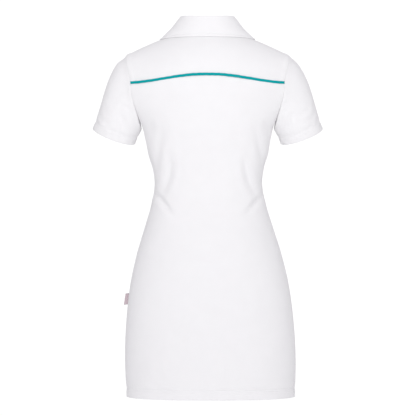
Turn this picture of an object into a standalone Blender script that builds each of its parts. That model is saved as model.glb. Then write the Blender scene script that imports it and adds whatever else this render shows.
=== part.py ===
"""Short-sleeved polo dress in its worn, hollow form: fitted waist, flared skirt, folded collar.

Metres, +Z up. The front faces -Y and the left side of the garment is +X. The origin lies
midway between the two points where the shoulder seams reach the neckline.
"""
import bpy
import numpy as np
from math import asin, atan2, cos, pi, radians, sin

# Cloth and seams
WALL = 0.0016            # thickness of one layer with its stitching
HEM_WALL = 0.0026        # thickness where the hem is turned up
GAP = 0.0004             # clearance between two sewn pieces
NECK_GAP = 0.0006        # the same under the collar, where the seam turns sharply

# Body sections. half is the distance of the side seam, or above the underarm of the armhole
# seam, from the middle; front and back are the depths of the form at the middle.
# height   half     front    back
BODY = np.array((
    (-0.877, 0.2035, 0.126, 0.131),
    (-0.782, 0.2070, 0.126, 0.133),
    (-0.674, 0.2010, 0.124, 0.133),
    (-0.601, 0.1912, 0.120, 0.131),
    (-0.528, 0.1742, 0.113, 0.126),
    (-0.470, 0.1563, 0.106, 0.114),
    (-0.412, 0.1392, 0.100, 0.099),
    (-0.361, 0.1307, 0.099, 0.090),
    (-0.325, 0.1355, 0.105, 0.089),
    (-0.296, 0.1440, 0.112, 0.091),
    (-0.260, 0.1515, 0.119, 0.095),
    (-0.228, 0.1586, 0.121, 0.099),
    (-0.204, 0.1671, 0.120, 0.101),
    (-0.148, 0.1830, 0.108, 0.105),
    (-0.119, 0.1857, 0.099, 0.106),
    (-0.068, 0.1965, 0.087, 0.105),
    (-0.050, 0.1970, 0.082, 0.104),
    (0.030, 0.1970, 0.072, 0.100),
))
HEM = -0.877
UNDERARM = -0.228
ROUNDNESS = 2.3          # 2 is an ellipse, more is squarer
ARCH_RISE = 0.07         # height over which the round section opens to an arch at the armholes
SWAY = 0.011             # the skirt hangs this much to the right for each metre down
SWAY_TOP = -0.150        # the height at which that starts
FRONT_SCOOP = 0.007      # the front armhole is cut this much further in

# Shoulders and neckline
NECK = 0.075             # half width of the neckline at the shoulder seam
SHOULDER = 0.197         # half width at the shoulder tip
SLOPE = 0.430            # drop of the shoulder seam per metre outwards
SHOULDER_RISE = 0.0026   # how much the shoulder seam bows up between neckline and tip
TIP = -SLOPE * (SHOULDER - NECK)
ROLL = {1: 0.120, -1: 0.150}        # height over which the shoulder rounds off, back and front
NECK_DROP = {1: 0.004, -1: 0.085}   # depth of the neckline, back and front
NECK_POWER = 2.0         # of the neckline's curve
ARMHOLE = {1: 0.054, -1: 0.056}     # depth of the armhole loop, back and front

# Yoke seam and its piping
YOKE = -0.1037           # height at the middle
YOKE_FALL = 0.0175       # how much lower it lies at the armholes
YOKE_LEVEL = 0.012       # half width of its level stretch
YOKE_RUN = 0.174         # width over which it falls
PIPING_WIDTH = 0.0062
PIPING_CREST = 0.0021    # outer face over the form, at the middle
PIPING_FLANK = 0.0011    # the same at the edges
PIPING_SEAT = GAP + 0.0002          # inner face over the form
PIPING_END = 0.0015      # distance of its ends from the armhole seams
PIPING_COLUMNS = 41

# Sleeve hem, an ellipse across the arm
CUFF_OUT = (0.2780, -0.2290)        # outermost point, x and z
CUFF_IN = (0.1780, -0.2665)         # innermost point, x and z
CUFF_Y = -0.016                     # the arms hang a little forward
CUFF_DEPTH = 0.049                  # half depth, front to back
CUFF_TILT = radians(14)

# Sleeve between armhole and hem: where its rings lie, how the cap leaves the armhole, sideways
# and along the arm, and how strongly the curves are pulled at the cap, underarm and hem
SLEEVE_RINGS = (0, 0.09, 0.2, 0.33, 0.47, 0.62, 0.77, 0.9, 1)
CAP_OUT = 0.57
CAP_DOWN = 0.45
CAP_PULL = 0.85
UNDERARM_PULL = 0.75
CUFF_PULL = 1.15

# Collar
STAND_HALF = 0.0615      # half width of the stand at its top edge
STAND_DEPTH = {1: 0.050, -1: 0.070}
STAND_TOP = 0.0355       # height of the top edge at the middle of the back
STAND_RISE = 0.0030      # how much higher it is over the shoulders
STAND_DROP = 0.084       # how much lower it is at the middle of the front
FOLD_POWER = 2.0         # of the top edge's fall to the front
FOLD_RADIUS = 0.0032     # outer radius where the fall turns over the stand
FOLD_BENDS = (0, 50, 100, 150)      # degrees round that turn
STAND_ROWS = (0, 0.33, 0.67, 1)     # fractions of the height
LEAF_ROWS = (0.17, 0.34, 0.51, 0.68, 0.84, 1)
LEAF_BACK = -0.0137      # height of the lower edge at the middle of the back
LEAF_SIDE = 0.1155       # distance of the lower edge from the middle, on the shoulder
LEAF_POINT = (0.060, -0.116)        # collar point, x and z
LEAF_LIFT = 0.0030       # outer face of the leaf over the form it lies on
LEAF_HOLLOW = 0.0030     # how far the leaf bows in over the shoulders
LEAF_BACK_POWERS = (0.9, 6)         # how x and z run along the lower edge, behind the shoulder
LEAF_FRONT_POWERS = (1.5, 1.8)      # and in front of it
CHEST_START = (-0.030, -0.035)      # y and z past which the leaves are held off the form
FRONT_GAP = 0.0015       # half the opening between the collar's two front ends

# Placket and buttons
PLACKET_HALF = 0.015
PLACKET_END = -0.262
BAND_LIFT = 0.0006       # the upper band stands this much over the panel
BAND_ROWS = 13
UNDER_REACH = 0.003      # the lower band is this much wider on each side and lower at its top
UNDER_TAIL = 0.006       # and longer by this at its foot
BUTTONS = (-0.102, -0.158, -0.214)
BUTTON_RADIUS = 0.0056
BUTTON_DEPTH = 0.0028
BUTTON_ROUNDING = 0.0006
BUTTON_SIDES = 20

# Side label: height of its middle, its length along the seam, its reach and its thickness
LABEL = (-0.6415, 0.027, 0.0084, 0.0012)

# Largest folds, troughs through three points of the back or front, x and z of each.
# side, x1, z1, x2, z2, x3, z3, half width, depth
FOLDS = (
    (1, 0.103, -0.233, 0.114, -0.282, 0.120, -0.331, 0.012, 0.0026),
    (1, -0.109, -0.229, -0.119, -0.277, -0.126, -0.315, 0.012, 0.0024),
    (1, 0.078, -0.300, 0.083, -0.345, 0.102, -0.389, 0.013, 0.0032),
    (1, -0.085, -0.300, -0.092, -0.342, -0.112, -0.386, 0.013, 0.0030),
    (1, 0.122, -0.386, 0.105, -0.406, 0.085, -0.423, 0.011, 0.0028),
    (1, -0.129, -0.389, -0.112, -0.410, -0.094, -0.425, 0.011, 0.0028),
    (-1, 0.112, -0.250, 0.105, -0.300, 0.098, -0.345, 0.013, 0.0030),
    (-1, -0.114, -0.246, -0.106, -0.294, -0.096, -0.338, 0.013, 0.0028),
    (-1, 0.122, -0.392, 0.098, -0.410, 0.072, -0.420, 0.012, 0.0026),
    (-1, -0.124, -0.388, -0.100, -0.408, -0.070, -0.424, 0.012, 0.0028),
)
FOLD_ENDS = 0.35         # depth at a fold's ends, as a share of its depth at the middle
FOLD_STEPS = 25          # points along a fold that its distance is measured from

# Rows and columns of the panels
SKIRT_ROWS = 12
WAIST = -0.480           # the rows are closer above this height
WAIST_ROWS = 18
BLADE_ROWS = 6           # underarm to yoke seam
YOKE_ROWS = 6
NECK_COLUMNS = 4
SIDE_COLUMNS = 9
UNDERARM_ROW = SKIRT_ROWS + WAIST_ROWS
SEAM_ROW = UNDERARM_ROW + BLADE_ROWS


def unit(vectors):
    """The vectors at length one."""
    return vectors / np.maximum(np.linalg.norm(vectors, axis=-1, keepdims=True), 1e-12)


def section(height, column):
    """A size of the body at a height, on smooth curves through the rows of the table."""
    keys, values = BODY[:, 0], BODY[:, column]
    slopes = np.gradient(values, keys)
    height = np.clip(height, keys[0], keys[-1])
    i = np.clip(np.searchsorted(keys, height) - 1, 0, len(keys) - 2)
    step = keys[i + 1] - keys[i]
    t = (height - keys[i]) / step
    return (values[i] * (1 + 2 * t) * (1 - t) ** 2 + values[i + 1] * (3 - 2 * t) * t ** 2
            + step * (slopes[i] * t * (1 - t) ** 2 - slopes[i + 1] * t ** 2 * (1 - t)))


def smoothstep(t):
    """Eases from 0 to 1."""
    t = np.clip(t, 0, 1)
    return t * t * (3 - 2 * t)


def ridge(x):
    """Height of the shoulder line, carried on smoothly over the neck opening."""
    x = np.abs(x)
    part = np.clip((x - NECK) / (SHOULDER - NECK), 0, 1)
    bow = 4 * SHOULDER_RISE * part * (1 - part)
    neck_slope = SLOPE - 4 * SHOULDER_RISE / (SHOULDER - NECK)
    inside = NECK * neck_slope / 2 * (1 - (x / NECK) ** 2)
    return np.where(x > NECK, -(x - NECK) * SLOPE + bow, inside)


def half_width(z, side):
    """Distance of the side seam or armhole seam from the middle."""
    rise = (z - UNDERARM) / (TIP - UNDERARM)
    scoop = FRONT_SCOOP * np.sin(pi * np.clip(rise, 0, 1)) if side < 0 else 0
    return section(z, 1) - scoop


def armhole_depth(z, side):
    """Half the depth of the armhole loop at a height, nothing outside the loop."""
    middle = (TIP + UNDERARM) / 2
    reach = (TIP - UNDERARM) / 2
    return ARMHOLE[side] * np.sqrt(np.clip(1 - ((z - middle) / reach) ** 2, 0, 1))


def depth(x, z, side):
    """Depth of the form behind the shoulder line (side 1) or in front of it (side -1)."""
    top = np.clip((ridge(x) - z) / ROLL[side], 0, 1)
    middle = section(z, 3 if side > 0 else 2) * np.sqrt(1 - (1 - top) ** 2)
    rise = np.clip((z - UNDERARM) / (ridge(x) - UNDERARM), 0, None)
    edge = armhole_depth(UNDERARM + (TIP - UNDERARM) * rise, side)
    across = np.clip(np.abs(x) / half_width(z, side), 0, 1)
    oval = (np.maximum(middle, 0) ** ROUNDNESS * (1 - across ** ROUNDNESS)
            + edge ** ROUNDNESS * across ** ROUNDNESS) ** (1 / ROUNDNESS)
    arc = middle - (middle - edge) * across ** 2
    return oval + (arc - oval) * smoothstep((z - UNDERARM) / ARCH_RISE)


def trough(x, z, side):
    """How far the folds of one side pull the cloth in."""
    pull = np.zeros_like(x)
    for where, x1, z1, x2, z2, x3, z3, width, deep in FOLDS:
        if where != side:
            continue
        nearest = np.full_like(x, 9.0)
        along = np.zeros_like(x)
        for s in np.linspace(0, 1, FOLD_STEPS):
            px = x1 * (1 - s) * (1 - 2 * s) + 4 * x2 * s * (1 - s) + x3 * s * (2 * s - 1)
            pz = z1 * (1 - s) * (1 - 2 * s) + 4 * z2 * s * (1 - s) + z3 * s * (2 * s - 1)
            away = np.hypot(x - px, z - pz)
            along = np.where(away < nearest, s, along)
            nearest = np.minimum(nearest, away)
        run = FOLD_ENDS + (1 - FOLD_ENDS) * np.sin(pi * along)
        pull += deep * run * np.exp(-(nearest / width) ** 2)
    return pull


def on_body(x, z, side, out=0.0):
    """Points of the form at x and z, moved out along its surface's normal."""
    x, z = np.broadcast_arrays(np.asarray(x, float), np.asarray(z, float))
    step = 0.0005
    slope_x = (depth(x + step, z, side) - depth(x - step, z, side)) / (2 * step)
    slope_z = (depth(x, z + step, side) - depth(x, z - step, side)) / (2 * step)
    normal = unit(np.stack((-slope_x, np.full_like(x, side), -slope_z), axis=-1))
    points = np.stack((x, side * depth(x, z, side), z), axis=-1)
    return points + normal * (out - trough(x, z, side))[..., None]


def facing(points, outward, closed=False):
    """Normals of a grid of points, turned to the side that outward points to."""
    if closed:
        wrapped = np.concatenate((points[:, -1:], points, points[:, :1]), axis=1)
        across = np.gradient(wrapped, axis=1)[:, 1:-1]
    else:
        across = np.gradient(points, axis=1)
    normal = unit(np.cross(across, np.gradient(points, axis=0)))
    return normal * np.sign((normal * outward).sum(axis=-1).mean())


def columns():
    """Fractions of a panel's width, from the placket's edge to the side."""
    neck = (NECK - PLACKET_HALF) / (SHOULDER - PLACKET_HALF)
    start = asin(neck ** (ROUNDNESS / 2))
    inner = [neck * sin(k / NECK_COLUMNS * pi / 2) for k in range(NECK_COLUMNS)]
    outer = [sin(start + (pi / 2 - start) * k / SIDE_COLUMNS) ** (2 / ROUNDNESS)
             for k in range(SIDE_COLUMNS + 1)]
    return np.array(inner + outer)


def panel(side):
    """Grid of points from the hem to the shoulder seams and neckline, right side to left."""
    split = columns()
    seam_edge = YOKE - YOKE_FALL
    heights = np.concatenate((
        np.linspace(HEM, WAIST, SKIRT_ROWS + 1)[:-1],
        np.linspace(WAIST, UNDERARM, WAIST_ROWS + 1)[:-1],
        np.linspace(UNDERARM, seam_edge, BLADE_ROWS + 1)[:-1],
        np.linspace(seam_edge, TIP, YOKE_ROWS + 1)))
    rows = []
    for row, height in enumerate(heights):
        reach = half_width(height, side)
        x = PLACKET_HALF + (reach - PLACKET_HALF) * split
        x = np.concatenate((-x[::-1], (0,), x))
        drop = NECK_DROP[side] * np.sqrt(np.clip(1 - (x / NECK) ** 2, 0, 1)) ** NECK_POWER
        top = np.where(np.abs(x) >= NECK - 1e-6, np.minimum(ridge(x), 0), -drop)
        rise = (height - UNDERARM) / (TIP - UNDERARM)
        if row <= UNDERARM_ROW:
            z = np.full_like(x, height)
        elif side < 0:
            z = UNDERARM + (top - UNDERARM) * rise
        elif row <= SEAM_ROW:
            z = UNDERARM + (yoke_seam(x) - UNDERARM) * (height - UNDERARM) / (seam_edge - UNDERARM)
        else:
            z = yoke_seam(x) + (top - yoke_seam(x)) * (height - seam_edge) / (TIP - seam_edge)
        rows.append(np.stack((x, side * depth(x, z, side), z), axis=-1))
    points = np.array(rows)
    normal = facing(points, np.array((0, side, 0)))
    points -= normal * trough(points[..., 0], points[..., 2], side)[..., None]
    return points, normal * WALL


def yoke_seam(x):
    """Height of the yoke seam, level in the middle and falling to the armholes."""
    return YOKE - YOKE_FALL * smoothstep((np.abs(x) - YOKE_LEVEL) / YOKE_RUN)


def mitre(wall_a, wall_b):
    """The shared slant of two walls that meet at a seam."""
    both = unit(wall_a) + unit(wall_b)
    half = np.linalg.norm(both, axis=-1, keepdims=True) / 2
    return unit(both) * WALL / np.maximum(half, 0.6)


def across_seam(edge, wall, inside, beyond, closed=False):
    """Unit vectors across an edge, from the side of beyond to that of inside."""
    if closed:
        along = np.roll(edge, -1, axis=0) - np.roll(edge, 1, axis=0)
    else:
        along = np.gradient(edge, axis=0)
    across = unit(np.cross(along, wall))
    towards = unit(inside - edge) - unit(beyond - edge)
    return across * np.sign((towards * across).sum(axis=-1, keepdims=True))


def sew(a, a_wall, a_next, b, b_wall, b_next):
    """Brings two edges with the same points to one slant and leaves the seam's clearance."""
    slant = mitre(a_wall, b_wall)
    move = across_seam(a.copy(), slant, a_next, b_next) * GAP / 2
    a_wall[:] = slant
    b_wall[:] = slant
    a += move
    b -= move


def hang(points):
    """Lets points below the yoke swing a little to the right."""
    points[..., 0] -= SWAY * np.maximum(SWAY_TOP - points[..., 2], 0)
    return points


def shell(name, points, wall, colour, roughness=0.85, closed=False, keep=None):
    """A closed wall: an outer grid of points, the same grid moved in, and rims round the edges."""
    rows, cols = points.shape[:2]
    count = rows * cols
    inner = points - wall
    last = cols if closed else cols - 1
    quads = []
    for r in range(rows - 1):
        for c in range(last):
            if keep is None or keep(r, c):
                d = (c + 1) % cols
                quads.append((r * cols + c, r * cols + d, (r + 1) * cols + d, (r + 1) * cols + c))
    edges = {(q[k], q[(k + 1) % 4]) for q in quads for k in range(4)}
    rims = [(b, a, a + count, b + count) for a, b in edges if (b, a) not in edges]
    faces = quads + [tuple(i + count for i in reversed(q)) for q in quads] + sorted(rims)
    a, b, c = (points.reshape(-1, 3)[i] for i in quads[len(quads) // 2][:3])
    centre = quads[len(quads) // 2][0]
    if np.dot(np.cross(b - a, c - b), wall.reshape(-1, 3)[centre]) < 0:
        faces = [tuple(reversed(face)) for face in faces]
    used = sorted({i for face in faces for i in face})
    place = {i: n for n, i in enumerate(used)}
    verts = hang(np.concatenate((points.reshape(-1, 3), inner.reshape(-1, 3))))[used]
    mesh = bpy.data.meshes.new(name)
    mesh.from_pydata(verts.tolist(), [], [[place[i] for i in face] for face in faces])
    return add(name, mesh, colour, roughness)


def add(name, mesh, colour, roughness):
    """Puts a mesh in the dress's collection with a material of its own."""
    material = bpy.data.materials.new(name)
    material.use_nodes = True
    shader = material.node_tree.nodes["Principled BSDF"]
    shader.inputs["Base Color"].default_value = (*colour, 1)
    shader.inputs["Roughness"].default_value = roughness
    shader.inputs["Metallic"].default_value = 0
    mesh.materials.append(material)
    mesh.shade_smooth()
    mesh.set_sharp_from_angle(angle=radians(40))
    piece = bpy.data.objects.new(name, mesh)
    dress.objects.link(piece)
    return piece


WHITE = (0.88, 0.88, 0.89)
TEAL = (0.0, 0.40, 0.42)
ROSE_GREY = (0.56, 0.48, 0.52)
RESIN = (0.86, 0.86, 0.86)

for old in list(bpy.data.objects):
    bpy.data.objects.remove(old, do_unlink=True)
dress = bpy.data.collections.new("polo_dress")
bpy.context.scene.collection.children.link(dress)

# Back and front, sewn together at the sides and shoulders
back, back_wall = panel(1)
front, front_wall = panel(-1)
COLUMNS = back.shape[1]
MIDDLE = COLUMNS // 2
NECK_EDGE = NECK_COLUMNS + 1          # columns from the middle to the shoulder seam's inner end
for edge in (0, COLUMNS - 1):
    next_in = 1 if edge == 0 else COLUMNS - 2
    low = slice(0, UNDERARM_ROW + 1)
    sew(back[low, edge], back_wall[low, edge], back[low, next_in].copy(),
        front[low, edge], front_wall[low, edge], front[low, next_in].copy())
for seam in (slice(0, MIDDLE - NECK_EDGE + 1), slice(MIDDLE + NECK_EDGE, COLUMNS)):
    sew(back[-1, seam], back_wall[-1, seam], back[-2, seam].copy(),
        front[-1, seam], front_wall[-1, seam], front[-2, seam].copy())
for wall in (back_wall, front_wall):
    wall[0] *= HEM_WALL / WALL
    wall[1] *= (HEM_WALL + WALL) / 2 / WALL


def sleeve(name, edge, side_sign):
    """A set-in sleeve: straight hem, cap curved over the shoulder, sewn into its armhole."""
    rise = slice(UNDERARM_ROW, None)
    ring = np.concatenate((back[rise, edge], front[rise, edge][-2:0:-1]))
    ring_wall = np.concatenate((back_wall[rise, edge], front_wall[rise, edge][-2:0:-1]))
    inward = edge - side_sign
    ring_in = np.concatenate((back[rise, inward], front[rise, inward][-2:0:-1]))
    top = len(back) - 1 - UNDERARM_ROW
    run = np.linalg.norm(np.diff(np.concatenate((ring, ring[:1])), axis=0), axis=1).cumsum()
    half = run[top - 1]
    start_run = np.concatenate(((0,), run[:-1]))
    angle = np.where(np.arange(len(ring)) <= top, pi - pi * start_run / half,
                     -pi * (start_run - half) / (run[-1] - half))
    out = np.array((CUFF_OUT[0] - CUFF_IN[0], 0, CUFF_OUT[1] - CUFF_IN[1]))
    reach = np.linalg.norm(out) / 2
    out = unit(out) * (side_sign, 1, 1)
    down = unit(np.array((side_sign * abs(out[2]), 0, -abs(out[0]))))
    rear = np.array((0, cos(CUFF_TILT), 0)) + sin(CUFF_TILT) * down
    arm = cos(CUFF_TILT) * down - np.array((0, sin(CUFF_TILT), 0))
    middle = np.array((side_sign * (CUFF_OUT[0] + CUFF_IN[0]) / 2, CUFF_Y,
                       (CUFF_OUT[1] + CUFF_IN[1]) / 2))
    cuff = (middle + reach * np.cos(angle)[:, None] * out
            + CUFF_DEPTH * np.sin(angle)[:, None] * rear)
    outward = -across_seam(ring, ring_wall, ring_in, 2 * ring - ring_in, closed=True)
    cap = (1 + np.cos(angle))[:, None] / 2
    start = unit(cap * CAP_OUT * outward + (1 - (1 - CAP_DOWN) * cap) * arm)
    length = np.linalg.norm(cuff - ring, axis=1, keepdims=True)
    first = start * length * (UNDERARM_PULL + (CAP_PULL - UNDERARM_PULL) * cap)
    last = arm * length * CUFF_PULL
    t = np.array(SLEEVE_RINGS)[:, None, None]
    points = (ring * (1 + 2 * t) * (1 - t) ** 2 + cuff * (3 - 2 * t) * t ** 2
              + first * t * (1 - t) ** 2 - last * t ** 2 * (1 - t))
    centre = points.mean(axis=1, keepdims=True)
    wall = facing(points, points - centre, closed=True) * WALL
    slant = mitre(ring_wall, wall[0])
    move = across_seam(ring, slant, ring_in, points[1], closed=True) * GAP / 2
    points[0] -= move
    wall[0] = slant
    wall[-2:] *= HEM_WALL / WALL
    back[rise, edge] += move[:top + 1]
    back_wall[rise, edge] = slant[:top + 1]
    front[rise, edge] += np.concatenate((move[top:], move[:1]))[::-1]
    front_wall[rise, edge] = np.concatenate((slant[top:], slant[:1]))[::-1]
    shell(name, points, wall, WHITE, closed=True)


sleeve("sleeve_left", COLUMNS - 1, 1)
sleeve("sleeve_right", 0, -1)


def collar_ring(turn):
    """Top edge of the stand at an angle from the middle of the back."""
    side = 1 if abs(turn) <= pi / 2 else -1
    level = abs(cos(turn))
    x = STAND_HALF * sin(turn)
    y = STAND_DEPTH[side] * cos(turn)
    if side > 0:
        z = STAND_TOP + STAND_RISE * (1 - level ** 2)
    else:
        z = STAND_TOP + STAND_RISE - STAND_DROP * level ** FOLD_POWER
    outward = np.array((x / STAND_HALF ** 2, y / STAND_DEPTH[side] ** 2, 0))
    return np.array((x, y, z)), outward / np.linalg.norm(outward)


# Collar stand, sewn to the neckline and open at the middle of the front
neck_back = [(back, back_wall, MIDDLE + k) for k in range(-NECK_EDGE, NECK_EDGE + 1)]
neck_left = [(front, front_wall, MIDDLE + k) for k in range(NECK_EDGE - 1, 0, -1)]
neck_right = [(front, front_wall, MIDDLE - k) for k in range(1, NECK_EDGE)]
neckline = neck_right + neck_back + neck_left
base = np.array([grid[-1, c] for grid, wall, c in neckline])
base_wall = np.array([wall[-1, c] for grid, wall, c in neckline])
base_in = np.array([grid[-2, c] for grid, wall, c in neckline])
ends = [front[-1, MIDDLE] * (0, 1, 1) + (sign * FRONT_GAP, 0, 0) for sign in (-1, 1)]
foot = np.concatenate((ends[:1], base, ends[1:]))
foot_wall = np.concatenate((base_wall[:1], base_wall, base_wall[-1:]))
below = np.array((0, 0, -0.01))
foot_in = np.concatenate(((foot[0] + below,), base_in, (foot[-1] + below,)))


def between(values):
    """The same run of values with one more halfway between each two."""
    result = np.empty((2 * len(values) - 1, *values.shape[1:]))
    result[::2] = values
    result[1::2] = (values[1:] + values[:-1]) / 2
    return result


def turn_of(point):
    """The angle round the collar that belongs to a point of the neckline."""
    turn = asin(min(1, abs(point[0]) / NECK))
    if point[1] < -0.001:
        turn = pi - turn
    return turn if point[0] >= 0 else -turn


last_turn = pi - FRONT_GAP / STAND_HALF
turns = between(np.array([-last_turn, *(turn_of(point) for point in base), last_turn]))
head = np.array([collar_ring(turn)[0] for turn in turns])
radial = np.array([collar_ring(turn)[1] for turn in turns])
lower, lower_in = between(foot), between(foot_in)
stand = np.array([lower + (head - lower) * t for t in STAND_ROWS])
stand_wall = facing(stand, np.stack([radial] * len(stand))) * WALL
slant = mitre(between(foot_wall), stand_wall[0])
slant[1::2] = (slant[:-1:2] + slant[2::2]) / 2
move = across_seam(foot, slant[::2], foot_in, stand[1, ::2]) * NECK_GAP / 2
stand[0] -= between(move)
stand_wall[0] = slant
stand_wall[-1] = radial * WALL
for k, (grid, wall, c) in enumerate(neckline):
    grid[-1, c] += move[k + 1]
    wall[-1, c] = slant[2 * (k + 1)]
shell("collar_stand", stand, stand_wall, WHITE)

# Collar fall: over the top of the stand, then down to an edge that lies on the body
fall, fall_wall = [], []
for bend in FOLD_BENDS:
    a = radians(bend)
    arm = radial * -cos(a) + np.array((0, 0, sin(a)))
    centre = head + radial * (FOLD_RADIUS - WALL) + np.array((0, 0, GAP * 1.5))
    fall.append(centre + arm * FOLD_RADIUS)
    fall_wall.append(arm * WALL)
edge = []
for turn in turns:
    sign = 1 if turn >= 0 else -1
    if abs(turn) <= pi / 2:
        x = LEAF_SIDE * sin(abs(turn)) ** LEAF_BACK_POWERS[0]
        low = LEAF_BACK + (ridge(LEAF_SIDE) - LEAF_BACK) * sin(abs(turn)) ** LEAF_BACK_POWERS[1]
        edge.append(on_body(sign * x, low, 1, LEAF_LIFT))
    else:
        s = (abs(turn) - pi / 2) / (abs(turns[0]) - pi / 2)
        x = LEAF_SIDE + (LEAF_POINT[0] - LEAF_SIDE) * s ** LEAF_FRONT_POWERS[0]
        fall_by = ridge(LEAF_SIDE) - LEAF_POINT[1]
        low = ridge(LEAF_SIDE) - fall_by * s ** LEAF_FRONT_POWERS[1]
        edge.append(on_body(sign * x, low, -1, LEAF_LIFT))
edge = np.array(edge).reshape(-1, 3)
bent = len(fall)
for t in LEAF_ROWS:
    hollow = LEAF_HOLLOW * sin(pi * t) ** 2 * np.abs(np.sin(turns)) ** 3
    leaf = fall[bent - 1] + (edge - fall[bent - 1]) * t - radial * hollow[:, None]
    cover = depth(leaf[:, 0], leaf[:, 2], -1) + LEAF_LIFT
    on_chest = (leaf[:, 1] < CHEST_START[0]) & (leaf[:, 2] < CHEST_START[1])
    leaf[:, 1] = np.where(on_chest, np.minimum(leaf[:, 1], -cover), leaf[:, 1])
    fall.append(leaf)
fall = np.array(fall)
leaf_wall = facing(fall, np.array((0, 0, 1))) * WALL
fall_wall = np.concatenate((np.array(fall_wall), leaf_wall[bent:]))
shell("collar_fall", fall, fall_wall, WHITE)

# Back: cut along the yoke seam
yoke, yoke_wall = back[SEAM_ROW:].copy(), back_wall[SEAM_ROW:].copy()
body, body_wall = back[:SEAM_ROW + 1].copy(), back_wall[:SEAM_ROW + 1].copy()
sew(yoke[0], yoke_wall[0], yoke[1].copy(), body[-1], body_wall[-1], body[-2].copy())
shell("back_yoke", yoke, yoke_wall, WHITE)
shell("back_panel", body, body_wall, WHITE)

# Front: slit from the neckline down for the placket
slit = int(np.argmin(np.abs(front[:, MIDDLE, 2] - PLACKET_END)))
shell("front_panel", front, front_wall, WHITE,
      keep=lambda r, c: r < slit or not MIDDLE - 1 <= c <= MIDDLE)

# Placket bands, the upper one set into the slit and the lower one behind it
low = front[slit, MIDDLE, 2]
high = front[-1, MIDDLE, 2]


def band(name, half, bottom, top, face, thick):
    """A flat band on the middle of the front, its outer face at a height over the form."""
    across, up = np.meshgrid((-half, 0, half), np.linspace(bottom, top, BAND_ROWS))
    outer = on_body(across, up, -1, face)
    inner = on_body(across, up, -1, face - thick)
    shell(name, outer, outer - inner, WHITE)


band("placket_over", PLACKET_HALF - GAP, low + GAP, high - GAP, BAND_LIFT, WALL + BAND_LIFT)
band("placket_under", PLACKET_HALF + UNDER_REACH, low - UNDER_TAIL, high - UNDER_REACH,
     -WALL - 2 * GAP, WALL)

# Piping along the yoke seam, up to the armholes
reach = half_width(YOKE - YOKE_FALL, 1) - PIPING_END
lines = np.array(((-0.5, PIPING_FLANK), (-0.2, PIPING_CREST), (0.2, PIPING_CREST), (0.5, PIPING_FLANK)))
along, offset = np.meshgrid(np.linspace(-reach, reach, PIPING_COLUMNS), lines[:, 0] * PIPING_WIDTH)
seam = yoke_seam(along) + offset
outer = on_body(along, seam, 1, lines[:, 1:] + 0 * seam)
inner = on_body(along, seam, 1, PIPING_SEAT + 0 * seam)
shell("yoke_piping", outer, outer - inner, TEAL, 0.6)

# Buttons, fastened, each on the upper band
for number, height in enumerate(BUTTONS, 1):
    face = hang(on_body(0.0, height, -1, BAND_LIFT + GAP + BUTTON_DEPTH / 2))
    lift = hang(on_body(0.0, height, -1, 0.02)) - face
    bpy.ops.mesh.primitive_cylinder_add(vertices=BUTTON_SIDES, radius=BUTTON_RADIUS,
                                        depth=BUTTON_DEPTH)
    button = bpy.context.object
    mesh = button.data
    bpy.data.objects.remove(button, do_unlink=True)
    button = add(f"button_{number}", mesh, RESIN, 0.35)
    button.location = face
    button.rotation_euler = (atan2(-lift[1], lift[2]), 0, 0)
    rounding = button.modifiers.new("Rounded rim", "BEVEL")
    rounding.width = BUTTON_ROUNDING
    rounding.segments = 2
    rounding.limit_method = "ANGLE"

# Side label, a small blank tab folded over and caught in the left side seam
height, length, out, thick = LABEL
bpy.ops.mesh.primitive_cube_add(size=1)
label = bpy.context.object
mesh = label.data
bpy.data.objects.remove(label, do_unlink=True)
for vertex in mesh.vertices:
    z = height + vertex.co.z * length
    x = half_width(z, 1) + 2 * GAP + (vertex.co.x + 0.5) * out
    vertex.co = hang(np.array((x, vertex.co.y * thick, z)))
add("side_label", mesh, ROSE_GREY, 0.7)
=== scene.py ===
"""Fitted polo dress in white double knit, dressed piece by piece in the order it is sewn.

Metres, +Z up. The front faces -Y, the garment's left side is +X, and the origin lies midway
between the points where the shoulder seams reach the neckline.
"""

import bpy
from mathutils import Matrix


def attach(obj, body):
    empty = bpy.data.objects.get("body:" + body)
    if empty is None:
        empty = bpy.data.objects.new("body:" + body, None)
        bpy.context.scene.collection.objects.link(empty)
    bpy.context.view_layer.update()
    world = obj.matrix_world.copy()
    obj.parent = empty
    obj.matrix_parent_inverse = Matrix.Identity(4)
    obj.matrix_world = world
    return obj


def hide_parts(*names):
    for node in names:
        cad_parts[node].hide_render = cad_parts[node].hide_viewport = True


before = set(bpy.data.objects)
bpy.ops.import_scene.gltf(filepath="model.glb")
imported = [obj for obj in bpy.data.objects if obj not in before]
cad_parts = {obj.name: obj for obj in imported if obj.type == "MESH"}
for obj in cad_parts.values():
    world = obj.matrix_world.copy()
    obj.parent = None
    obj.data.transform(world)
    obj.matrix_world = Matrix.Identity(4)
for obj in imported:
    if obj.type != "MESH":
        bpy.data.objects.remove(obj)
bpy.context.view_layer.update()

from math import atan, atan2, cos, pi, radians, sin

import bmesh
import bpy
import numpy as np
from mathutils import Matrix, Vector

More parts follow.
